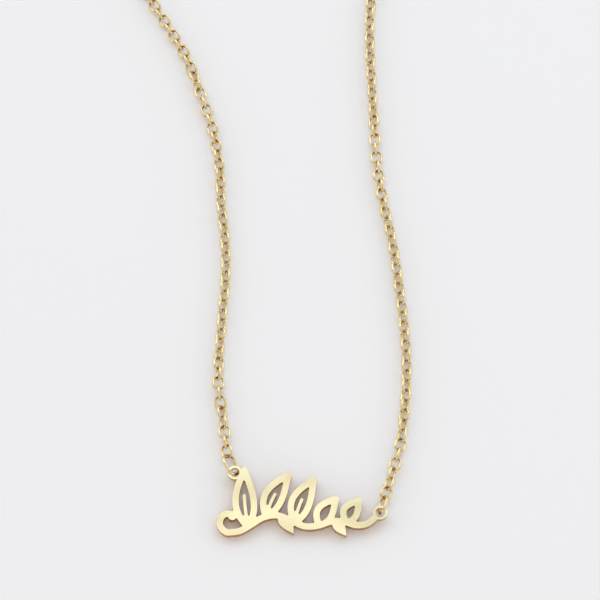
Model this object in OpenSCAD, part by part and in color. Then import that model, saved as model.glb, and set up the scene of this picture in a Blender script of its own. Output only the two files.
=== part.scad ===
// A nameplate necklace lying on a flat surface, in millimetres with +Z up: a plate cut from sheet as a
// leafy branch, two jump rings, a cable chain of oval links in two strands, and a plain ring clasp.

/* [Nameplate] */
// Length of the branch, without the right eyelet
plate_l = 30; // [27:0.5:33]
// Height of the branch
plate_h = 13; // [12:0.25:14]
// Thickness of the sheet
plate_t = 1.6; // [1.5:0.05:1.8]
// Width of the stem and of the leaves' rims
stroke_w = 1.2; // [1:0.05:1.3]
// Width of the veins in the three large leaves
vein_w = 0.6; // [0.4:0.05:0.8]
// Radius that softens the inner corners
corner_r = 0.18; // [0.05:0.01:0.25]
// Diameter of the round bud that ends the curl
bud_d = 1.7; // [1.3:0.1:2]

/* [Eyelets] */
// Outer diameter of an eyelet
eyelet_od = 2.65; // [2.6:0.05:2.8]
// Diameter of an eyelet's hole
eyelet_hole = 1.75; // [1.7:0.05:1.85]
// Thickness of an eyelet, whose top is level with the plate's face
eyelet_t = 1; // [0.8:0.05:1]
// How far an eyelet is set into the stroke that it is soldered to
eyelet_bite = 0.35; // [0.25:0.05:0.45]

/* [Chain] */
// Outer length of a link
link_l = 3.1; // [3:0.01:3.3]
// Outer width of a link
link_w = 2.45; // [2.35:0.01:2.55]
// Diameter of the link wire
link_wire = 0.5; // [0.43:0.01:0.51]
// Clear gap between interlocked wires
link_gap = 0.12; // [0.12:0.01:0.15]
// Clear gap between a jump ring's wire or the clasp's and the link or ring in it
ring_gap = 0.16; // [0.14:0.01:0.2]

/* [Left jump ring] */
// Outer length
left_ring_l = 4.6; // [4.4:0.05:4.9]
// Outer width
left_ring_w = 3.8; // [3.7:0.05:4]
// Diameter of its wire
left_ring_wire = 0.48; // [0.42:0.01:0.5]
// Tilt about its long axis, left side up
left_ring_tilt = 50; // [49:1:55]
// Direction of its long axis, turned left from the photo's up
left_ring_turn = 24; // [20:1:30]
// From the eyelet's centre to the ring's centre
left_ring_reach = 1.8; // [1.75:0.05:1.85]

/* [Right jump ring] */
// Outer length
right_ring_l = 3.9; // [3.7:0.05:4.2]
// Outer width
right_ring_w = 3.2; // [3.1:0.05:3.4]
// Diameter of its wire
right_ring_wire = 0.48; // [0.42:0.01:0.5]
// Tilt about its long axis, right side up
right_ring_tilt = 66; // [62:1:72]
// Direction of its long axis, turned right from the photo's up
right_ring_turn = 16; // [10:1:20]
// From the eyelet's centre to the ring's centre
right_ring_reach = 1.7; // [1.5:0.05:1.8]

/* [Clasp] */
// Outer diameter of the clasp
clasp_od = 6; // [5.6:0.1:7]
// Diameter of the clasp's wire
clasp_wire = 1.2; // [1:0.05:1.3]
// Outer diameter of the clasp's eye
clasp_eye_od = 2.6; // [2.4:0.05:2.8]
// Diameter of the eye's wire
clasp_eye_wire = 0.55; // [0.5:0.01:0.6]
// Outer diameter of the ring between the left strand and the clasp
clasp_ring_od = 3.4; // [3.2:0.05:3.8]
// Diameter of that ring's wire
clasp_ring_wire = 0.5; // [0.45:0.01:0.55]
// Tilt of that ring about the chain, the loop's outer side up
clasp_ring_tilt = 55; // [50:1:60]
// Outer diameter of the ring on the right strand's end
end_ring_od = 3.8; // [3.7:0.05:4.2]
// Diameter of that ring's wire
end_ring_wire = 0.6; // [0.5:0.01:0.65]
// Tilt of that ring about the chain, the loop's outer side up
end_ring_tilt = 55; // [50:1:60]

/* [Hidden] */

gold = [0.90, 0.76, 0.42];
pale_gold = [0.96, 0.88, 0.60];

// Facets of a full turn: of a wire, of a ring, and of the plate's round shapes
wire_fn = 32;
ring_fn = 64;
plate_fn = 24;
// Steps along one span of a spline, and along one side of a leaf
span_steps = 8;
leaf_steps = 18;

// The branch, in shares of plate_l along x and of plate_h along y from its lower left corner.
// Its stem starts as a curl round curl_centre, then runs through stem_points.
curl_centre = [0.091, 0.227];
// Columns: radius as a share of plate_h, and direction from the curl's centre
curl_ends = [[0.081, 60], [0.177, 262]];
stem_points = [[0.155, 0.073], [0.225, 0.165], [0.30, 0.27], [0.385, 0.30], [0.47, 0.225], [0.555, 0.14],
               [0.64, 0.15], [0.72, 0.21], [0.80, 0.205], [0.875, 0.155], [0.945, 0.18], [1, 0.285]];

// The leaves. Columns: foot as a share of the stem, length and width as shares of plate_h,
// direction, bend of the midrib and length of the vein as shares of the leaf's length
foot = 0;
leaf_long = 1;
leaf_wide = 2;
leaf_turn = 3;
leaf_bend = 4;
vein_long = 5;
rimmed_leaves = [[0.135, 0.83, 0.255, 94, 0.03, 0.55],
                 [0.265, 0.69, 0.24, 62, 0.06, 0.5],
                 [0.455, 0.68, 0.245, 66, 0.06, 0.5],
                 [0.615, 0.45, 0.21, 58, 0.07, 0],
                 [0.79, 0.36, 0.19, 60, 0.07, 0]];
solid_leaves = [[0.34, 0.35, 0.17, -50, 0.07, 0],
                [0.7, 0.29, 0.15, -47, 0.07, 0]];
// Where on the first leaf's left side the left eyelet is soldered, as a share of the leaf's length
eyelet_share = 0.96;

// The plate's lower left corner, where the photo shows it on the surface
plate_at = [-15.8, -47.05];
// The route of the chain from the left jump ring round to the right one, points on the surface.
// The stretch above y = 66 is out of the photo.
chain_route = [[-14.6, -24], [-15.4, -18], [-15.4, -12], [-14.9, -4], [-14.3, 5], [-14.5, 12], [-15.4, 20],
               [-15.7, 27], [-17.1, 35], [-19.3, 42], [-22.6, 51], [-27.4, 59.5], [-33, 69], [-37.5, 79.5],
               [-40, 91], [-39.5, 102], [-35.5, 112], [-28, 121], [-17.5, 127], [-6, 128.5],
               [5.5, 126], [14.5, 118.5], [19.5, 107.5], [20.5, 96], [19, 84.5], [16.1, 74], [14.2, 63],
               [13.9, 55],
               [14.2, 46], [14.6, 36], [15, 29], [16.1, 20.5], [17.8, 12], [19.1, 2], [20, -7], [20.3, -14],
               [19.8, -22], [18.8, -29.5]];
// How the links turn about the chain. Columns: number of links from the jump ring, turn in degrees
left_twist = [[0, 0], [1, 12], [2, 31], [3, 51], [4, 71], [5, 91], [6, 111], [7, 128], [8, 140], [10, 162],
              [12, 178], [28, 180], [33, 190], [36, 203], [38, 218], [40, 248], [42, 278], [43, 285]];
right_twist = [[0, 0], [1, 2], [2, 18], [3, 36], [4, 54], [5, 72], [6, 90], [7, 106], [8, 115], [9, 119],
               [11, 118], [13, 110], [15, 102], [28, 100], [34, 82], [36, 68], [38, 56], [40, 32], [42, 12]];
// Links over which a strand comes down from a ring, and over which it turns to suit the clasp's ring
ease_links = 4;
turn_links = 10;

// Splines through points

function spline(p, i, t) =
    let (last = len(p) - 1,
         a = p[max(i - 1, 0)],
         b = p[i],
         c = p[min(i + 1, last)],
         d = p[min(i + 2, last)])
    (2 * b + (c - a) * t + (2 * a - 5 * b + 4 * c - d) * pow(t, 2) + (3 * b - a - 3 * c + d) * pow(t, 3)) / 2;

function smooth(p, steps) =
    concat([for (i = [0:len(p) - 2]) for (k = [0:steps - 1]) spline(p, i, k / steps)], [p[len(p) - 1]]);

function running_length(q) =
    [for (i = 0, s = 0; i < len(q); i = i + 1, s = s + (i < len(q) ? norm(q[i] - q[i - 1]) : 0)) s];

function column(q, k) = [for (v = q) v[k]];

function pairs(a, b) = [for (i = [0:len(a) - 1]) [a[i], b[i]]];

// The plate's outline, in its own plane

function scaled(p) = [p.x * plate_l, p.y * plate_h];

curl_steps = 20;
curl_line = [for (k = [0:curl_steps])
    let (t = k / curl_steps,
         r = curl_ends[0][0] + (curl_ends[1][0] - curl_ends[0][0]) * t,
         a = curl_ends[0][1] + (curl_ends[1][1] - curl_ends[0][1]) * t)
    scaled(curl_centre) + r * plate_h * [cos(a), sin(a)]];
stem_start = curl_line[curl_steps];
stem_line = smooth(concat([stem_start], [for (p = stem_points) scaled(p)]), span_steps);
stem_s = running_length(stem_line);
stem_length = stem_s[len(stem_s) - 1];

function on_stem(share) =
    [lookup(share * stem_length, pairs(stem_s, column(stem_line, 0))),
     lookup(share * stem_length, pairs(stem_s, column(stem_line, 1)))];

function turned(p, a) = [p.x * cos(a) - p.y * sin(a), p.x * sin(a) + p.y * cos(a)];

// A point of a leaf's side, along its own axis from its foot: side is 1 left, -1 right, 0 on the midrib
function leaf_point(leaf, t, side) =
    plate_h * [leaf[leaf_long] * t,
               leaf[leaf_bend] * leaf[leaf_long] * 4 * t * (1 - t)
               + side * leaf[leaf_wide] / 2 * 4 * t * (1 - t) * (1.35 - 0.7 * t)];

function leaf_outline(leaf) =
    concat([for (k = [0:leaf_steps]) leaf_point(leaf, k / leaf_steps, 1)],
           [for (k = [leaf_steps - 1:-1:1]) leaf_point(leaf, k / leaf_steps, -1)]);

function heading(q, i) =
    let (d = q[min(i + 1, len(q) - 1)] - q[max(i - 1, 0)])
    d / norm(d);

function beside(q, off) = [for (i = [0:len(q) - 1]) let (t = heading(q, i)) q[i] + off * [-t.y, t.x]];

function reversed(q) = [for (i = [len(q) - 1:-1:0]) q[i]];

module stroke(q, w) {
    polygon(concat(beside(q, w / 2), reversed(beside(q, -w / 2))));
    for (end = [q[0], q[len(q) - 1]])
        translate(end) circle(d = w, $fn = plate_fn);
}

module rimmed_leaf(leaf) {
    difference() {
        offset(r = stroke_w / 2, $fn = plate_fn) polygon(leaf_outline(leaf));
        offset(delta = -stroke_w / 2) polygon(leaf_outline(leaf));
    }
    if (leaf[vein_long] > 0)
        stroke([for (k = [0:leaf_steps]) leaf_point(leaf, leaf[vein_long] * k / leaf_steps, 0)], vein_w);
}

module set_on_stem(leaf) {
    translate(on_stem(leaf[foot])) rotate(leaf[leaf_turn]) children();
}

module branch() {
    offset(r = -corner_r, $fn = plate_fn) offset(delta = corner_r) {
        stroke(concat(curl_line, stem_line), stroke_w);
        translate(curl_line[0]) circle(d = bud_d, $fn = plate_fn);
        for (leaf = rimmed_leaves)
            set_on_stem(leaf) rimmed_leaf(leaf);
        for (leaf = solid_leaves)
            set_on_stem(leaf) polygon(leaf_outline(leaf));
    }
}

// An eyelet's centre lies off the edge of the stroke that carries it, less the bite
eyelet_off = eyelet_od / 2 + stroke_w / 2 - eyelet_bite;
first_leaf = rimmed_leaves[0];
left_eyelet = on_stem(first_leaf[foot])
              + turned(leaf_point(first_leaf, eyelet_share, 1), first_leaf[leaf_turn])
              + eyelet_off * [-1, 0];
stem_end = stem_line[len(stem_line) - 1];
right_eyelet = stem_end + (eyelet_od / 2 - eyelet_bite) * heading(stem_line, len(stem_line) - 1);

// The plate lies tilted: its curl on the surface, its eyelets up on the jump rings

function rest_height(width, wire, tilt) = wire / 2 + (width - wire) / 2 * abs(sin(tilt));

left_ring_z = rest_height(left_ring_w, left_ring_wire, left_ring_tilt);
right_ring_z = rest_height(right_ring_w, right_ring_wire, right_ring_tilt);
// An eyelet's step up from the plate's back, and the height of that back where the rings carry the plate
eyelet_step = plate_t - eyelet_t;
left_back_z = left_ring_z - eyelet_t / 2 - eyelet_step;
right_back_z = right_ring_z - eyelet_t / 2 - eyelet_step;
curl_foot = [scaled(curl_centre).x, min(column(curl_line, 1)) - stroke_w / 2];
to_left = left_eyelet - curl_foot;
to_right = right_eyelet - curl_foot;
spread = to_left.x * to_right.y - to_right.x * to_left.y;
slope_x = (left_back_z * to_right.y - right_back_z * to_left.y) / spread;
slope_y = (to_left.x * right_back_z - to_right.x * left_back_z) / spread;
pitch_x = atan(slope_y / sqrt(1 + pow(slope_x, 2)));
pitch_y = -atan(slope_x);

function tip(v, ax, ay) =
    let (y = v.y * cos(ax) - v.z * sin(ax),
         z = v.y * sin(ax) + v.z * cos(ax))
    [v.x * cos(ay) + z * sin(ay), y, z * cos(ay) - v.x * sin(ay)];

// A point of the tilted plate, from its place in the plate's plane and its height over the back
function on_plate(p, up) =
    let (d = p - curl_foot,
         v = tip([d.x, d.y, up], pitch_x, pitch_y))
    v + [plate_at.x + curl_foot.x, plate_at.y + curl_foot.y, 0];

module lay_plate() {
    translate([plate_at.x + curl_foot.x, plate_at.y + curl_foot.y, 0])
        rotate([pitch_x, pitch_y, 0])
            translate([-curl_foot.x, -curl_foot.y, 0]) children();
}

eyelet_mid = eyelet_step + eyelet_t / 2;
left_eye = on_plate(left_eyelet, eyelet_mid);
right_eye = on_plate(right_eyelet, eyelet_mid);

// The chain's route, from one jump ring to the other

function flat_turn(a) = [-sin(a), cos(a)];

function flat(v) = [v.x, v.y];

function inner(length, wire) = length - 2 * wire;

left_dir = flat_turn(left_ring_turn);
right_dir = flat_turn(-right_ring_turn);
left_ring_at = flat(left_eye) + left_ring_reach * left_dir;
right_ring_at = flat(right_eye) + right_ring_reach * right_dir;
left_meet = left_ring_at + (inner(left_ring_l, left_ring_wire) - ring_gap) / 2 * left_dir;
right_meet = right_ring_at + (inner(right_ring_l, right_ring_wire) - ring_gap) / 2 * right_dir;

route_line = smooth(concat([left_meet], chain_route, [right_meet]), span_steps);
route_s = running_length(route_line);
route_length = route_s[len(route_s) - 1];
route_x = pairs(route_s, column(route_line, 0));
route_y = pairs(route_s, column(route_line, 1));

// A point of the route, s along it and z above the surface
function raised(s, z) = [lookup(s, route_x), lookup(s, route_y), z];

// The clasp and its two rings stand at the middle of the route
clasp_eye_at = clasp_od / 2 + clasp_eye_od / 2 - (clasp_wire + clasp_eye_wire) / 4;
clasp_back = clasp_eye_at + clasp_eye_od / 2 - clasp_eye_wire - ring_gap / 2;
clasp_front = clasp_od / 2 - clasp_wire - ring_gap / 2;
clasp_ring_step = inner(clasp_ring_od, clasp_ring_wire) - ring_gap;
end_ring_step = inner(end_ring_od, end_ring_wire) - ring_gap;
clasp_s = route_length / 2;
eye_s = clasp_s - clasp_back;
left_end_s = eye_s - clasp_ring_step;
front_s = clasp_s + clasp_front;
right_end_s = front_s + end_ring_step;
clasp_ring_z = rest_height(clasp_ring_od, clasp_ring_wire, clasp_ring_tilt);
end_ring_z = rest_height(end_ring_od, end_ring_wire, end_ring_tilt);
// The clasp leans the other way, until its side rests on the surface
clasp_lean = -asin(((clasp_ring_z + end_ring_z) - clasp_wire) / (clasp_od - clasp_wire));

// A strand has as many links as its stretch of the route needs, at no more than the full pitch
full_pitch = inner(link_l, link_wire) - link_gap;
left_length = left_end_s;
right_length = route_length - right_end_s;
left_count = ceil(left_length / full_pitch);
right_count = ceil(right_length / full_pitch);

// The turn of link i, where the last links turn on to stand square to the ring at the strand's end
function link_turn(i, count, twist, start_tilt, end_tilt) =
    let (last = count + 1,
         plain = lookup(i, twist),
         wanted = end_tilt - start_tilt - 90 * last,
         there = lookup(last, twist),
         near = wanted + 180 * round((there - wanted) / 180),
         share = max(0, 1 - (last - i) / turn_links))
    start_tilt + 90 * i + plain + (near - there) * share;

// The height of the chain's axis where a link ends and the next begins, which lets both rest on the surface,
// eased up to the rings at both ends
function axis_height(i, count, turns, start_z, end_z) =
    let (rest = max([for (turn = turns) rest_height(link_w, link_wire, turn)]),
         start_share = max(0, 1 - i / ease_links),
         end_share = max(0, 1 - (count - i) / ease_links))
    rest + max(0, start_z - rest) * start_share + max(0, end_z - rest) * end_share;

// The model is drawn about the middle of its extent on the surface
reach = link_w / 2;
low = [min(column(route_line, 0)) - reach, plate_at.y];
high = [max(column(route_line, 0)) + reach, max(column(route_line, 1)) + clasp_od / 2];
middle = (low + high) / 2;

module centred() {
    translate([-middle.x, -middle.y, 0]) children();
}

// Rings and links

module half_turn(bend, wire) {
    rotate_extrude(angle = 180, $fn = ring_fn) translate([bend, 0]) circle(d = wire, $fn = wire_fn);
}

module round_ring(od, wire) {
    rotate_extrude($fn = ring_fn) translate([(od - wire) / 2, 0]) circle(d = wire, $fn = wire_fn);
}

// An oval ring in the XY plane, its long axis along Y
module oval(length, width, wire) {
    bend = (width - wire) / 2;
    straight = length - width;
    translate([0, straight / 2, 0]) half_turn(bend, wire);
    rotate(180) translate([0, straight / 2, 0]) half_turn(bend, wire);
    for (x = [-bend, bend])
        translate([x, straight / 2, 0]) rotate([90, 0, 0]) cylinder(d = wire, h = straight, $fn = wire_fn);
}

// Draws its child from point a to point b, halfway between them, turned about that line
module between(a, b, turn) {
    d = b - a;
    translate((a + b) / 2)
        rotate([asin(d.z / norm(d)), 0, atan2(-d.x, d.y)])
            rotate([0, turn, 0]) children();
}

// A strand from s = start along the route: direction is 1 from the left ring, -1 from the right ring
module strand(start, direction, length, count, twist, tilts, heights) {
    turns = [for (i = [0:count + 1]) link_turn(i, count, twist, tilts[0], tilts[1])];
    function meeting(i) =
        raised(start + direction * length * i / count,
               axis_height(i, count, [turns[i], turns[i + 1]], heights[0], heights[1]));
    for (i = [1:count])
        between(meeting(i - 1), meeting(i), turns[i])
            oval(link_l, link_w, link_wire);
}

// The pieces

module nameplate() {
    color(pale_gold)
        centred() lay_plate()
            difference() {
                union() {
                    linear_extrude(plate_t) branch();
                    for (eyelet = [left_eyelet, right_eyelet])
                        translate([eyelet.x, eyelet.y, eyelet_step])
                            cylinder(d = eyelet_od, h = eyelet_t, $fn = ring_fn);
                }
                for (eyelet = [left_eyelet, right_eyelet])
                    translate([eyelet.x, eyelet.y, -plate_t])
                        cylinder(d = eyelet_hole, h = 3 * plate_t, $fn = ring_fn);
            }
}

module left_jump_ring() {
    color(gold)
        centred() translate([left_ring_at.x, left_ring_at.y, left_ring_z])
            rotate([0, 0, left_ring_turn]) rotate([0, left_ring_tilt, 0])
                oval(left_ring_l, left_ring_w, left_ring_wire);
}

module right_jump_ring() {
    color(gold)
        centred() translate([right_ring_at.x, right_ring_at.y, right_ring_z])
            rotate([0, 0, -right_ring_turn]) rotate([0, -right_ring_tilt, 0])
                oval(right_ring_l, right_ring_w, right_ring_wire);
}

module left_chain() {
    color(gold)
        centred() strand(0, 1, left_length, left_count, left_twist,
                         [left_ring_tilt, clasp_ring_tilt], [left_ring_z, clasp_ring_z]);
}

module right_chain() {
    color(gold)
        centred() strand(route_length, -1, right_length, right_count, right_twist,
                         [-right_ring_tilt, -end_ring_tilt], [right_ring_z, end_ring_z]);
}

module clasp_ring() {
    color(gold)
        centred() between(raised(left_end_s, clasp_ring_z), raised(eye_s, clasp_ring_z), clasp_ring_tilt)
            round_ring(clasp_ring_od, clasp_ring_wire);
}

module clasp() {
    color(gold)
        centred() between(raised(eye_s, clasp_ring_z), raised(front_s, end_ring_z), clasp_lean)
            translate([0, (clasp_back - clasp_front) / 2, 0]) {
                round_ring(clasp_od, clasp_wire);
                translate([0, -clasp_eye_at, 0]) round_ring(clasp_eye_od, clasp_eye_wire);
            }
}

module end_ring() {
    color(gold)
        centred() between(raised(right_end_s, end_ring_z), raised(front_s, end_ring_z), -end_ring_tilt)
            round_ring(end_ring_od, end_ring_wire);
}

nameplate();
left_jump_ring();
right_jump_ring();
left_chain();
right_chain();
clasp_ring();
clasp();
end_ring();
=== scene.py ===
from math import cos, pi, radians, sin

import bpy
import numpy as np
from bpy.props import FloatProperty, FloatVectorProperty, IntProperty, PointerProperty
from bpy.types import Operator, Panel, PropertyGroup
from mathutils import Matrix, Vector


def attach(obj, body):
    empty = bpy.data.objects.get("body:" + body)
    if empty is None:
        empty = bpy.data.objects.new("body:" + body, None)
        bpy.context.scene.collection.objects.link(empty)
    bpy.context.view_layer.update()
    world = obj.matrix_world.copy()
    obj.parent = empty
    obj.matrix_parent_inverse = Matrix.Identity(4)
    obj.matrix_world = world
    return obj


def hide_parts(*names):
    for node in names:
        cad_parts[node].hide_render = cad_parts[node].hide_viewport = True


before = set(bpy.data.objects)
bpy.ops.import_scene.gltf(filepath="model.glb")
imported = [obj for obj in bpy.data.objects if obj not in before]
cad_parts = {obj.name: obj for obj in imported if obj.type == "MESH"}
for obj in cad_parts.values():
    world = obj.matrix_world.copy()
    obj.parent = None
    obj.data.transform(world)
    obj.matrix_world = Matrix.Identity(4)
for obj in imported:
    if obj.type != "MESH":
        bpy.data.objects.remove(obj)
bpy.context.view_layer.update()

bl_info = {
    "name": "Leaf plate necklace",
    "version": (1, 0, 0),
    "blender": (4, 5, 0),
    "location": "3D View > Sidebar > Necklace",
    "description": "Dresses the necklace's solids in fine links, rounded edges and polished gold",
    "category": "Object",
}

MM = 0.001
BODY = "root"
STRANDS = ("left_chain", "right_chain")
JUMP_RINGS = ("left_jump_ring", "right_jump_ring")
CLASP_RINGS = ("clasp_ring", "end_ring")
# model.glb brings plain materials that are named after the slots, so these names differ
PLATE_FINISH = "polished_plate"
WIRE_FINISH = "polished_wire"
BEND_MARK = "inside_of_bend"

RING_STEPS = 48
RING_SIDES = 16
MERGE_DISTANCE = 0.001 * MM
NO_LENGTH = 1e-9
FLAT_ANGLE = radians(0.3)
CUT_EDGE_ANGLE = radians(50)
PLATE_SMOOTH_ANGLE = radians(60)
CLASP_SMOOTH_ANGLE = radians(40)
EDGE_SEGMENTS = 2
FLAT_FACE_WEIGHT = 100

# How far apart the tones and marks of the gold lie, and how the long ones are turned and stretched
TONE_SPAN = 4 * MM
WAVE_SPAN = 9 * MM
HAIR_SPAN = 0.9 * MM
HAIR_TURN = (0, 0, 0.45)
HAIR_STRETCH = (1, 14, 1)
STRIPE_SPAN = 0.1 * MM
STRIPE_TURN = (0, 0, 0)
STRIPE_STRETCH = (1, 1, 0.04)
DRIFT_SPAN = 2.6 * MM
WEAR_SPAN = 0.22 * MM
# How dark the darker tone is, and how deep each mark goes beside the others
CLOUD_SHADE = 0.97
STRIPE_SHADE = 0.94
PLATE_RELIEF = 0.01 * MM
HAIR_DEPTH = 0.15
STRIPE_DEPTH = 0.6
WAVE_DEPTH = 170
WIRE_RELIEF = 0.004 * MM
# Where a wall turns into the face, by how far the surface points up or down
WALL_FADE = (0.35, 0.8)
# How far into a bend its painted shade begins and is full, as sines, and how fast it fades across the
# wire
BEND_FADE = (0.3, 0.8)
ACROSS_WIRE_FADE = 1.4

# The stage in metres. The lights' places are counted from the point that the camera looks at
FLOOR_SIZE = 6.0
FLOOR_ROUGHNESS = 0.9
FLOOR_SHEEN = 0.2
KEY_PLACE = Vector((1.9, 1.7, 1.5))
KEY_SIZE = (6.2, 3.3)
BACK_PLACE = Vector((-0.3, 2.0, 2.3))
BACK_SIZE = (6.6, 2.5)
NEAREST_SEEN = 0.01
FARTHEST_SEEN = 20
SENSOR_WIDTH_MM = 36

# Where the room's parts begin and end, by how far a direction points to the side, back or up
CEILING_FADE = (sin(radians(16)), sin(radians(30)))
GAP_FADE = (cos(radians(66)), cos(radians(54)))
GAP_BACK_EDGE = (0.27, 0.33)
CAMERA_WALL_FADE = (0.15, 0.45)
SOFTBOX_MIDDLE = -0.18
SOFTBOX_HALF_DEPTH = (0.40, 0.45)
SOFTBOX_HALF_WIDTH = (0.28, 0.34)
LAMPS_WAY = (0.45, 0.8, 0.4)
LAMPS_FADE = (0.6, 0.8)
DIMMED_BEHIND_LAMPS = 0.75


# Sizes, colours and light


class NecklaceSizes(PropertyGroup):
    edge_round: FloatProperty(
        name="Edge rounding", description="Radius polished onto the plate's cut edges",
        default=0.05 * MM, min=0.02 * MM, max=0.15 * MM, unit="LENGTH", precision=6)
    seam_width: FloatProperty(
        name="Seam width", description="Width of the groove where a jump ring's wire ends meet",
        default=0.07 * MM, min=0.03 * MM, max=0.15 * MM, unit="LENGTH", precision=6)
    seam_depth: FloatProperty(
        name="Seam depth", description="Depth of that groove, as a share of the wire's radius",
        default=0.22, min=0.05, max=0.5, subtype="FACTOR")
    link_steps: IntProperty(
        name="Steps round a link", description="Segments round one chain link",
        default=20, min=12, max=32)
    link_sides: IntProperty(
        name="Sides of the link wire", description="Segments round the wire of one chain link",
        default=8, min=6, max=12)


class NecklaceGold(PropertyGroup):
    plate_colour: FloatVectorProperty(
        name="Plate", description="Gold of the plate's polished face",
        default=(0.95, 0.88, 0.56), size=3, min=0, max=1, subtype="COLOR")
    # The walls' deeper gold is partly the cut metal's own and partly painted shade, for the shadowed
    # floor that they reflect
    wall_gold_and_shade: FloatVectorProperty(
        name="Cut walls", description="Deeper gold of the plate's cut walls",
        default=(0.60, 0.28, 0.045), size=3, min=0, max=1, subtype="COLOR")
    chain_colour: FloatVectorProperty(
        name="Chain", description="Gold of the links and rings",
        default=(0.86, 0.72, 0.40), size=3, min=0, max=1, subtype="COLOR")
    deep_colour: FloatVectorProperty(
        name="Deep tone", description="Warmer gold that drifts through the chain's tone",
        default=(0.80, 0.59, 0.25), size=3, min=0, max=1, subtype="COLOR")
    # Painted shade: brown painted inside the bends of links and rings, where the next ring crosses
    bend_shade_colour: FloatVectorProperty(
        name="Bend shade", description="Brown inside the bends of links and rings",
        default=(0.36, 0.13, 0.01), size=3, min=0, max=1, subtype="COLOR")
    plate_roughness: FloatProperty(
        name="Plate roughness", description="Roughness of the plate's face", default=0.15, min=0, max=1)
    wall_roughness: FloatProperty(
        name="Wall roughness", description="Roughness of the cut walls", default=0.22, min=0, max=1)
    chain_roughness: FloatProperty(
        name="Chain roughness", description="Roughness of the wire", default=0.08, min=0, max=1)


class NecklaceStage(PropertyGroup):
    view_x: FloatProperty(
        name="View centre X", description="Where the camera looks on the floor",
        default=9.83 * MM, unit="LENGTH", precision=5)
    view_y: FloatProperty(
        name="View centre Y", description="Where the camera looks on the floor",
        default=-42.24 * MM, unit="LENGTH", precision=5)
    elevation: FloatProperty(
        name="Elevation", description="Camera's angle above the floor",
        default=radians(70), min=radians(5), max=radians(89), subtype="ANGLE")
    distance: FloatProperty(
        name="Distance", description="From the camera to the view centre",
        default=480.8 * MM, unit="LENGTH", precision=5)
    lens: FloatProperty(
        name="Lens", description="Focal length in millimetres", default=150, min=20, max=300)
    floor_colour: FloatVectorProperty(
        name="Floor", description="Pale surface that the necklace lies on",
        default=(0.945, 0.968, 0.992), size=3, min=0, max=1, subtype="COLOR")
    wall_light: FloatProperty(
        name="Wall light", description="Brightness of the white walls near the horizon",
        default=1.1, min=0, max=5)
    front_light: FloatProperty(
        name="Front light", description="Brightness of the wall behind the camera",
        default=1.0, min=0, max=5)
    room_light: FloatVectorProperty(
        name="Room light", description="Light of the room above the walls",
        default=(1.08, 1.09, 1.09), size=3, min=0, max=5, subtype="COLOR")
    gap_light: FloatVectorProperty(
        name="Gap light", description="What is left of it in the gap round the softbox",
        default=(0.34, 0.19, 0.06), size=3, min=0, max=5, subtype="COLOR")
    top_light: FloatProperty(
        name="Top light", description="Brightness of the softbox overhead",
        default=1.18, min=0, max=5)
    key_power: FloatProperty(
        name="Key power", description="Power in watts of the large soft light at the back right",
        default=44, min=0, max=500)
    light_colour: FloatVectorProperty(
        name="Light colour", description="Tone of the two large soft lights",
        default=(0.92, 1.03, 1.17), size=3, min=0, max=2, subtype="COLOR")
    back_power: FloatProperty(
        name="Back power", description="Power in watts of the large soft light at the back",
        default=31, min=0, max=500)


# Selecting, copying and finishing pieces


def deselect_all():
    if bpy.context.mode != "OBJECT":
        bpy.ops.object.mode_set(mode="OBJECT")
    bpy.ops.object.select_all(action="DESELECT")


def activate(piece):
    deselect_all()
    piece.select_set(True)
    bpy.context.view_layer.objects.active = piece


def edit(piece):
    """Opens a piece alone in edit mode."""
    activate(piece)
    bpy.ops.object.mode_set(mode="EDIT")


def select_where(piece, test):
    """Selects the vertices whose place passes the test, in edit mode."""
    bpy.ops.mesh.select_mode(type="VERT")
    bpy.ops.mesh.select_all(action="DESELECT")
    bpy.ops.object.mode_set(mode="OBJECT")
    for vertex in piece.data.vertices:
        vertex.select = test(vertex.co)
    bpy.ops.object.mode_set(mode="EDIT")


def apply_modifiers(piece):
    activate(piece)
    for modifier in list(piece.modifiers):
        bpy.ops.object.modifier_apply(modifier=modifier.name)


def settle(piece, place):
    """Moves a piece's mesh where place says, and leaves the piece itself at the origin."""
    piece.data.transform(place)
    piece.matrix_world = Matrix.Identity(4)


def dress(piece, slot, material, *nodes):
    """Gives a finished piece its material and its body, and hides the CAD nodes that it stands for."""
    piece.data.materials.clear()
    piece.data.materials.append(material)
    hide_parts(*nodes)
    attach(piece, BODY)


def merged_copy(node, name):
    """A copy of a CAD node with its loose triangles joined."""
    piece = bpy.data.objects.new(name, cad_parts[node].data.copy())
    bpy.context.scene.collection.objects.link(piece)
    edit(piece)
    bpy.ops.mesh.select_all(action="SELECT")
    bpy.ops.mesh.remove_doubles(threshold=MERGE_DISTANCE)
    bpy.ops.object.mode_set(mode="OBJECT")
    bpy.ops.mesh.customdata_custom_splitnormals_clear()
    return piece


def points_of(piece):
    """The places of a piece's vertices, a row for each."""
    points = np.empty(len(piece.data.vertices) * 3)
    piece.data.vertices.foreach_get("co", points)
    return points.reshape(-1, 3)


class Lay:
    """How a ring lies: its size, and the place that brings a ring drawn flat and long along Y onto it."""

    def __init__(self, points):
        mean = points.mean(0)
        axes = np.linalg.eigh(np.cov((points - mean).T))[1]
        flat, narrow, long = axes.T
        flat = flat if flat[2] >= 0 else -flat
        long = long if long[1] >= 0 else -long
        narrow = np.cross(long, flat)
        axes = np.stack([narrow, long, flat], axis=1)
        spread = (points - mean) @ axes
        low = spread.min(0)
        high = spread.max(0)
        self.width, self.length, self.wire = high - low
        centre = mean + axes @ ((low + high) / 2)
        turn = Matrix([list(row) for row in axes]).to_4x4()
        self.place = Matrix.Translation(Vector(centre)) @ turn


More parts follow.
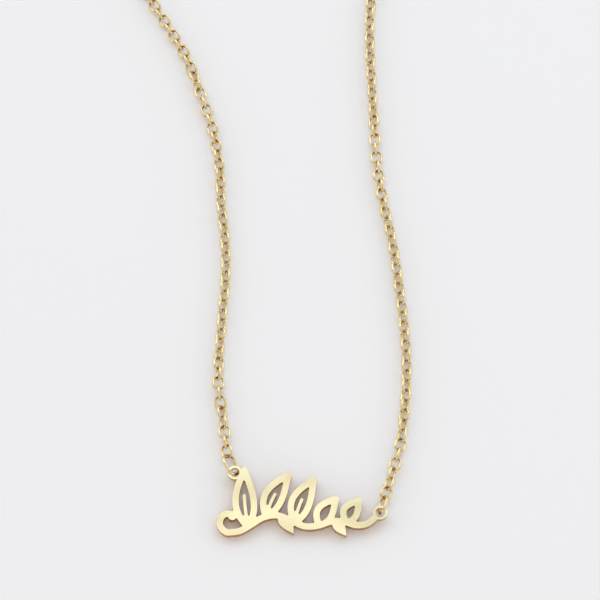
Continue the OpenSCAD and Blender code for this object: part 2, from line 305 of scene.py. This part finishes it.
def loose_lays(node):
    """How each loose ring of a CAD node lies."""
    whole = merged_copy(node, "loose_parts")
    edit(whole)
    bpy.ops.mesh.select_all(action="SELECT")
    bpy.ops.mesh.separate(type="LOOSE")
    bpy.ops.object.mode_set(mode="OBJECT")
    parts = list(bpy.context.selected_objects)
    lays = [Lay(points_of(part)) for part in parts]
    for part in parts:
        bpy.data.objects.remove(part)
    return lays


# Materials


class Signal:
    """One output of a material's node, on which arithmetic adds Math nodes."""

    def __init__(self, finish, socket):
        self.finish = finish
        self.socket = socket

    def math(self, operation, *values):
        return self.finish.node("ShaderNodeMath", {"operation": operation}, dict(enumerate(values)))

    def __add__(self, other):
        return self.math("ADD", self, other)

    def __radd__(self, other):
        return self.math("ADD", other, self)

    def __sub__(self, other):
        return self.math("SUBTRACT", self, other)

    def __rsub__(self, other):
        return self.math("SUBTRACT", other, self)

    def __mul__(self, other):
        return self.math("MULTIPLY", self, other)

    def __rmul__(self, other):
        return self.math("MULTIPLY", other, self)

    def __abs__(self):
        return self.math("ABSOLUTE", self)

    def ramp(self, low, high):
        """0 below low, 1 above high and smooth between them."""
        return self.finish.node(
            "ShaderNodeMapRange", {"interpolation_type": "SMOOTHSTEP"},
            {"Value": self, "From Min": low, "From Max": high})


class Finish:
    """A material or surround in the making, with one method that adds any node."""

    def __init__(self, owner):
        self.owner = owner
        owner.use_nodes = True
        self.tree = owner.node_tree
        self.tree.nodes.clear()

    def node(self, kind, settings=None, inputs=None, output=0):
        added = self.tree.nodes.new(kind)
        for key, value in (settings or {}).items():
            setattr(added, key, value)
        for key, value in (inputs or {}).items():
            if isinstance(value, Signal):
                self.tree.links.new(value.socket, added.inputs[key])
            else:
                added.inputs[key].default_value = value
        return Signal(self, added.outputs[output]) if added.outputs else None

    def place(self):
        return self.node("ShaderNodeTexCoord", output="Object")

    def stretched(self, turn, scale):
        """Object coordinates, turned and then scaled on each axis."""
        turned = self.node("ShaderNodeMapping", inputs={"Vector": self.place(), "Rotation": turn})
        return self.node("ShaderNodeMapping", inputs={"Vector": turned, "Scale": scale})

    def noise(self, vector, scale, detail=3.0, roughness=0.55):
        return self.node(
            "ShaderNodeTexNoise",
            inputs={"Vector": vector, "Scale": scale, "Detail": detail, "Roughness": roughness})

    def mix(self, factor, low, high):
        return self.node(
            "ShaderNodeMix", {"data_type": "RGBA"}, {0: factor, 6: low, 7: high}, output=2)

    def bump(self, height, distance, strength):
        return self.node(
            "ShaderNodeBump", inputs={"Height": height, "Distance": distance, "Strength": strength})

    def metal(self, colour, roughness, normal):
        surface = self.node(
            "ShaderNodeBsdfPrincipled",
            inputs={"Base Color": colour, "Metallic": 1.0, "Roughness": roughness, "Normal": normal})
        self.node("ShaderNodeOutputMaterial", inputs={"Surface": surface})
        return self.owner


def opaque(colour, shade=1.0):
    """A colour, or a darker shade of it, in the form that a socket takes."""
    return (*(shade * part for part in colour), 1.0)


def plate_gold(gold):
    """Pale plating on a slightly wavy face with hairline polishing marks, and striped walls whose deeper
    gold is partly the cut metal's own and partly painted shade.
    """
    finish = Finish(bpy.data.materials.new(PLATE_FINISH))
    normal_z = finish.node(
        "ShaderNodeSeparateXYZ",
        inputs={0: finish.node("ShaderNodeNewGeometry", output="Normal")}, output="Z")
    wall = 1 - abs(normal_z).ramp(*WALL_FADE)
    cloud = finish.noise(finish.place(), 1 / TONE_SPAN).ramp(0.3, 0.7)
    waves = finish.noise(finish.place(), 1 / WAVE_SPAN, detail=0.0)
    hairs = finish.noise(finish.stretched(HAIR_TURN, HAIR_STRETCH), 1 / HAIR_SPAN, detail=2.0)
    stripes = finish.noise(finish.stretched(STRIPE_TURN, STRIPE_STRETCH), 1 / STRIPE_SPAN, detail=1.0)
    face = finish.mix(cloud, opaque(gold.plate_colour), opaque(gold.plate_colour, CLOUD_SHADE))
    striped = stripes.ramp(0.35, 0.7)
    # Faces that point sideways take the darker wall gold: partly cut metal, partly painted shade
    cut = finish.mix(striped, opaque(gold.wall_gold_and_shade), opaque(gold.wall_gold_and_shade, STRIPE_SHADE))
    colour = finish.mix(wall, face, cut)
    face_rough = gold.plate_roughness + 0.05 * cloud + 0.06 * hairs
    wall_rough = gold.wall_roughness + 0.10 * stripes
    roughness = face_rough * (1 - wall) + wall_rough * wall
    relief = hairs * HAIR_DEPTH * (1 - wall) + STRIPE_DEPTH * stripes * wall + WAVE_DEPTH * waves
    return finish.metal(colour, roughness, finish.bump(relief, PLATE_RELIEF, 0.3))


def chain_gold(gold):
    """Bright wire whose tone drifts from link to link, with handling wear, and brown painted shade inside
    the bends.
    """
    finish = Finish(bpy.data.materials.new(WIRE_FINISH))
    drift = finish.noise(finish.place(), 1 / DRIFT_SPAN, detail=2.0).ramp(0.35, 0.7)
    wear = finish.noise(finish.place(), 1 / WEAR_SPAN, detail=2.0)
    bend = finish.node("ShaderNodeAttribute", {"attribute_name": BEND_MARK}, output="Fac")
    # Painted shade inside the bends, made patchy by the wear noise
    bend_shade = bend * (0.75 + 0.4 * wear)
    bright = finish.mix(drift * 0.6, opaque(gold.chain_colour), opaque(gold.deep_colour))
    colour = finish.mix(bend_shade, bright, opaque(gold.bend_shade_colour))
    roughness = gold.chain_roughness + 0.03 * drift + 0.06 * wear.ramp(0.5, 0.75) + 0.15 * bend_shade
    return finish.metal(colour, roughness, finish.bump(wear, WIRE_RELIEF, 0.06))


def floor_paint(stage):
    finish = Finish(bpy.data.materials.new("stage_floor"))
    surface = finish.node(
        "ShaderNodeBsdfPrincipled",
        inputs={
            "Base Color": opaque(stage.floor_colour),
            "Roughness": FLOOR_ROUGHNESS, "Specular IOR Level": FLOOR_SHEEN})
    finish.node("ShaderNodeOutputMaterial", inputs={"Surface": surface})
    return finish.owner


def studio(stage):
    """The room that the gold reflects: white walls, and above them a softbox in a dark gap.

    It is dimmed behind the two soft lights, since they add to what they stand before.
    """
    finish = Finish(bpy.data.worlds.new("stage_surround"))
    way = finish.node("ShaderNodeTexCoord", output="Generated")
    side, back, height = (
        finish.node("ShaderNodeSeparateXYZ", inputs={0: way}, output=axis) for axis in "XYZ")
    ceiling = height.ramp(*CEILING_FADE)
    gap = height.ramp(*GAP_FADE) * (1 - back.ramp(*GAP_BACK_EDGE))
    camera_wall = (back * -1).ramp(*CAMERA_WALL_FADE)
    in_depth = 1 - abs(back - SOFTBOX_MIDDLE).ramp(*SOFTBOX_HALF_DEPTH)
    in_width = 1 - abs(side).ramp(*SOFTBOX_HALF_WIDTH)
    softbox = in_depth * in_width * ceiling
    white = opaque((1.0, 1.0, 1.0))
    room = finish.mix(gap, opaque(stage.room_light), opaque(stage.gap_light))
    colour = finish.mix(softbox, finish.mix(ceiling, white, room), white)
    walls = stage.wall_light * (1 - camera_wall) + stage.front_light * camera_wall
    brightness = walls * (1 - ceiling) + ceiling * (1 - softbox) + stage.top_light * softbox
    to_side, to_back, upward = LAMPS_WAY
    lamps = (back * to_back + side * to_side + height * upward).ramp(*LAMPS_FADE)
    strength = brightness * (1 - DIMMED_BEHIND_LAMPS * lamps)
    lit = finish.node("ShaderNodeBackground", inputs={"Color": colour, "Strength": strength})
    finish.node("ShaderNodeOutputWorld", inputs={"Surface": lit})
    return finish.owner


def material(name, maker, settings):
    """A material by name, made the first time that a piece asks for it."""
    return bpy.data.materials.get(name) or maker(settings)


# Shapes


def oval_ring(name, lay, steps, sides):
    """A ring of round wire in the XY plane, its long axis along Y."""
    deselect_all()
    bpy.ops.mesh.primitive_torus_add(
        major_segments=steps, minor_segments=sides, rotation=(0, 0, pi / steps),
        major_radius=(lay.width - lay.wire) / 2, minor_radius=lay.wire / 2)
    ring = bpy.context.object
    ring.name = name
    bpy.ops.object.transform_apply(rotation=True)
    straight = (lay.length - lay.width) / 2
    bpy.ops.object.mode_set(mode="EDIT")
    for end in (-1, 1):
        select_where(ring, lambda place: place.y * end > 0)
        bpy.ops.transform.translate(value=(0, end * straight, 0))
    bpy.ops.object.mode_set(mode="OBJECT")
    bpy.ops.object.shade_smooth()
    mark_bend_shade(ring, lay)
    return ring


def mark_bend_shade(ring, lay):
    """Marks the inside of both bends, where the next ring crosses, for the painted shade there."""
    points = points_of(ring)
    straight = (lay.length - lay.width) / 2
    into_bend = np.maximum(np.abs(points[:, 1]) - straight, 0)
    reach = np.maximum(np.hypot(points[:, 0], into_bend), NO_LENGTH)
    begin, full = BEND_FADE
    bend = np.clip((into_bend / reach - begin) / (full - begin), 0, 1)
    wire_middle = (lay.width - lay.wire) / 2
    inside = np.clip(0.5 + (wire_middle - reach) / lay.wire * ACROSS_WIRE_FADE, 0, 1)
    marks = ring.data.attributes.new(BEND_MARK, "FLOAT", "POINT")
    marks.data.foreach_set("value", bend * inside)


def cut_seam(ring, lay, width, depth):
    """Presses a fine groove round the wire halfway up the ring's right side, where its ends meet."""
    wire_x = (lay.width - lay.wire) / 2
    edit(ring)
    for offset in (-width, -width / 2, 0, width / 2, width):
        bpy.ops.mesh.select_all(action="SELECT")
        bpy.ops.mesh.bisect(plane_co=(0, offset, 0), plane_no=(0, 1, 0))
    select_where(ring, lambda place: place.x > 0 and abs(place.y) < width / 4)
    bpy.ops.transform.resize(value=(1 - depth, 1, 1 - depth), center_override=(wire_x, 0, 0))
    bpy.ops.object.mode_set(mode="OBJECT")


# Operators and their panel


class NecklaceOperator:
    """What the necklace's operators share."""

    bl_options = {"REGISTER", "UNDO"}

    @property
    def sizes(self):
        return bpy.context.scene.necklace_sizes

    @property
    def gold(self):
        return bpy.context.scene.necklace_gold

    @property
    def stage(self):
        return bpy.context.scene.necklace_stage

    def make_wire_ring(self, node):
        """Makes one ring with its seam, where its CAD ring lies."""
        lay = Lay(points_of(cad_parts[node]))
        ring = oval_ring(node + "_wire", lay, RING_STEPS, RING_SIDES)
        cut_seam(ring, lay, self.sizes.seam_width, self.sizes.seam_depth)
        settle(ring, lay.place)
        dress(ring, "chain_gold", material(WIRE_FINISH, chain_gold, self.gold), node)


class NECKLACE_OT_plate(NecklaceOperator, Operator):
    """Rounds the edges of the leafy plate and its eyelets, and plates it in pale gold"""

    bl_idname = "necklace.plate"
    bl_label = "Leaf plate"

    def execute(self, context):
        plate = merged_copy("nameplate", "leaf_plate")
        edit(plate)
        bpy.ops.mesh.select_all(action="SELECT")
        bpy.ops.mesh.dissolve_limited(angle_limit=FLAT_ANGLE)
        bpy.ops.object.mode_set(mode="OBJECT")
        rounding = plate.modifiers.new("edge_round", "BEVEL")
        rounding.width = self.sizes.edge_round
        rounding.segments = EDGE_SEGMENTS
        rounding.limit_method = "ANGLE"
        rounding.angle_limit = CUT_EDGE_ANGLE
        rounding.face_strength_mode = "FSTR_AFFECTED"
        flatness = plate.modifiers.new("flat_faces", "WEIGHTED_NORMAL")
        flatness.weight = FLAT_FACE_WEIGHT
        flatness.use_face_influence = True
        bpy.ops.object.shade_smooth_by_angle(angle=PLATE_SMOOTH_ANGLE)
        apply_modifiers(plate)
        dress(plate, "plate_gold", material(PLATE_FINISH, plate_gold, self.gold), "nameplate")
        return {"FINISHED"}


class NECKLACE_OT_jump_rings(NecklaceOperator, Operator):
    """Makes the oval jump rings that hold the plate, each with the seam where its wire closes"""

    bl_idname = "necklace.jump_rings"
    bl_label = "Jump rings"

    def execute(self, context):
        for node in JUMP_RINGS:
            self.make_wire_ring(node)
        return {"FINISHED"}


class NECKLACE_OT_chain(NecklaceOperator, Operator):
    """Models one link and copies it along both strands, each copy where its CAD link lies"""

    bl_idname = "necklace.chain"
    bl_label = "Cable chain"

    def execute(self, context):
        for node in STRANDS:
            lays = loose_lays(node)
            pattern = oval_ring("link_pattern", lays[0], self.sizes.link_steps, self.sizes.link_sides)
            links = []
            for lay in lays:
                link = bpy.data.objects.new("link", pattern.data.copy())
                bpy.context.scene.collection.objects.link(link)
                settle(link, lay.place)
                links.append(link)
            bpy.data.objects.remove(pattern)
            activate(links[0])
            for link in links:
                link.select_set(True)
            bpy.ops.object.join()
            strand = bpy.context.object
            strand.name = node + "_links"
            dress(strand, "chain_gold", material(WIRE_FINISH, chain_gold, self.gold), node)
        return {"FINISHED"}


class NECKLACE_OT_clasp(NecklaceOperator, Operator):
    """Makes the plain closed clasp and the two round rings beside it"""

    bl_idname = "necklace.clasp"
    bl_label = "Clasp and its rings"

    def execute(self, context):
        for node in CLASP_RINGS:
            self.make_wire_ring(node)
        clasp = merged_copy("clasp", "clasp_body")
        bpy.ops.object.shade_smooth_by_angle(angle=CLASP_SMOOTH_ANGLE)
        dress(clasp, "chain_gold", material(WIRE_FINISH, chain_gold, self.gold), "clasp")
        return {"FINISHED"}


class NECKLACE_OT_stage(NecklaceOperator, Operator):
    """Sets the pale floor, the soft studio light and the camera"""

    bl_idname = "necklace.stage"
    bl_label = "Stage"

    def execute(self, context):
        stage = self.stage
        target = Vector((stage.view_x, stage.view_y, 0))
        deselect_all()
        bpy.ops.mesh.primitive_plane_add(size=FLOOR_SIZE)
        floor = bpy.context.object
        floor.name = "stage_floor"
        floor.data.materials.append(floor_paint(stage))
        context.scene.world = studio(stage)
        context.scene.view_settings.view_transform = "Standard"
        self.soft_light("stage_key", target, KEY_PLACE, KEY_SIZE, stage.key_power)
        self.soft_light("stage_back", target, BACK_PLACE, BACK_SIZE, stage.back_power)
        bpy.ops.object.camera_add()
        camera = bpy.context.object
        camera.name = "stage_camera"
        away = Vector((0, -cos(stage.elevation), sin(stage.elevation)))
        self.aim(camera, target + stage.distance * away, target)
        camera.data.lens = stage.lens
        camera.data.sensor_width = SENSOR_WIDTH_MM
        camera.data.clip_start = NEAREST_SEEN
        camera.data.clip_end = FARTHEST_SEEN
        context.scene.camera = camera
        return {"FINISHED"}

    def aim(self, item, place, target):
        item.location = place
        item.rotation_euler = (target - place).to_track_quat("-Z", "Y").to_euler()

    def soft_light(self, name, target, offset, size, power):
        bpy.ops.object.light_add(type="AREA")
        light = bpy.context.object
        light.name = name
        light.data.shape = "RECTANGLE"
        light.data.size, light.data.size_y = size
        light.data.energy = power
        light.data.color = self.stage.light_colour
        self.aim(light, target + offset, target)


class NECKLACE_PT_panel(Panel):
    """Lists the necklace's sizes and colours and the operators that make its pieces"""

    bl_idname = "NECKLACE_PT_panel"
    bl_label = "Necklace"
    bl_space_type = "VIEW_3D"
    bl_region_type = "UI"
    bl_category = "Necklace"

    def draw(self, context):
        layout = self.layout
        for setting in SETTINGS:
            group = getattr(context.scene, setting)
            box = layout.box()
            for name in group.__annotations__:
                box.prop(group, name)
        for operator in OPERATORS:
            layout.operator(operator.bl_idname)


SETTINGS = {
    "necklace_sizes": NecklaceSizes,
    "necklace_gold": NecklaceGold,
    "necklace_stage": NecklaceStage,
}
OPERATORS = (
    NECKLACE_OT_stage,
    NECKLACE_OT_plate,
    NECKLACE_OT_jump_rings,
    NECKLACE_OT_chain,
    NECKLACE_OT_clasp,
)
CLASSES = (*SETTINGS.values(), *OPERATORS, NECKLACE_PT_panel)


def register():
    for item in CLASSES:
        bpy.utils.register_class(item)
    for name, group in SETTINGS.items():
        setattr(bpy.types.Scene, name, PointerProperty(type=group))


def unregister():
    for name in SETTINGS:
        delattr(bpy.types.Scene, name)
    for item in reversed(CLASSES):
        bpy.utils.unregister_class(item)


def main():
    register()
    bpy.ops.necklace.stage()
    bpy.ops.necklace.plate()
    bpy.ops.necklace.jump_rings()
    bpy.ops.necklace.chain()
    bpy.ops.necklace.clasp()


if __name__ == "__main__":
    main()
